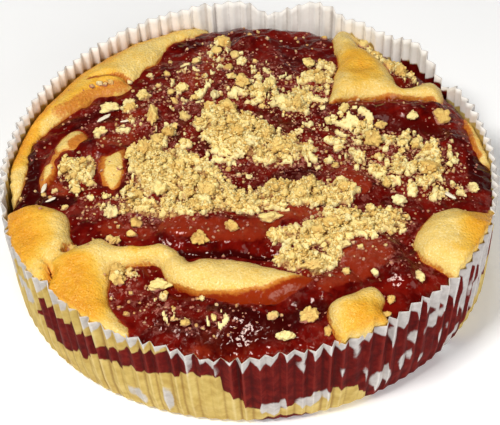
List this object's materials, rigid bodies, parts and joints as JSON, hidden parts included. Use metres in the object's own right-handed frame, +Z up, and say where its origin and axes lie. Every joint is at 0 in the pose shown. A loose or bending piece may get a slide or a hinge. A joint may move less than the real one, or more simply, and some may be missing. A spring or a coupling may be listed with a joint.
{
  "type": "crumb cake",
  "caption": "Round crumb cake in a pleated paper baking case: pale sponge lobes standing out of a dark fruit filling, strewn with biscuit crumbs, to rest on a plate or board.",
  "frame": {"origin": "middle of the underside of the paper case, on the surface it rests on", "axes": "+Z up through the cake, +Y towards the side where the case stands tallest, +X to the right as seen from the low side"},
  "size_m": [0.159, 0.1628, 0.0469],
  "materials": {
    "paper": "thin pleated greaseproof paper, stained by the filling",
    "sponge": "baked sponge, pale yellow to golden brown",
    "filling": "glossy dark red cooked fruit"
  },
  "bodies": {
    "root": {"paper_case": "paper", "sponge": "sponge", "cherry_filling": "filling"}
  },
  "joints": []
}
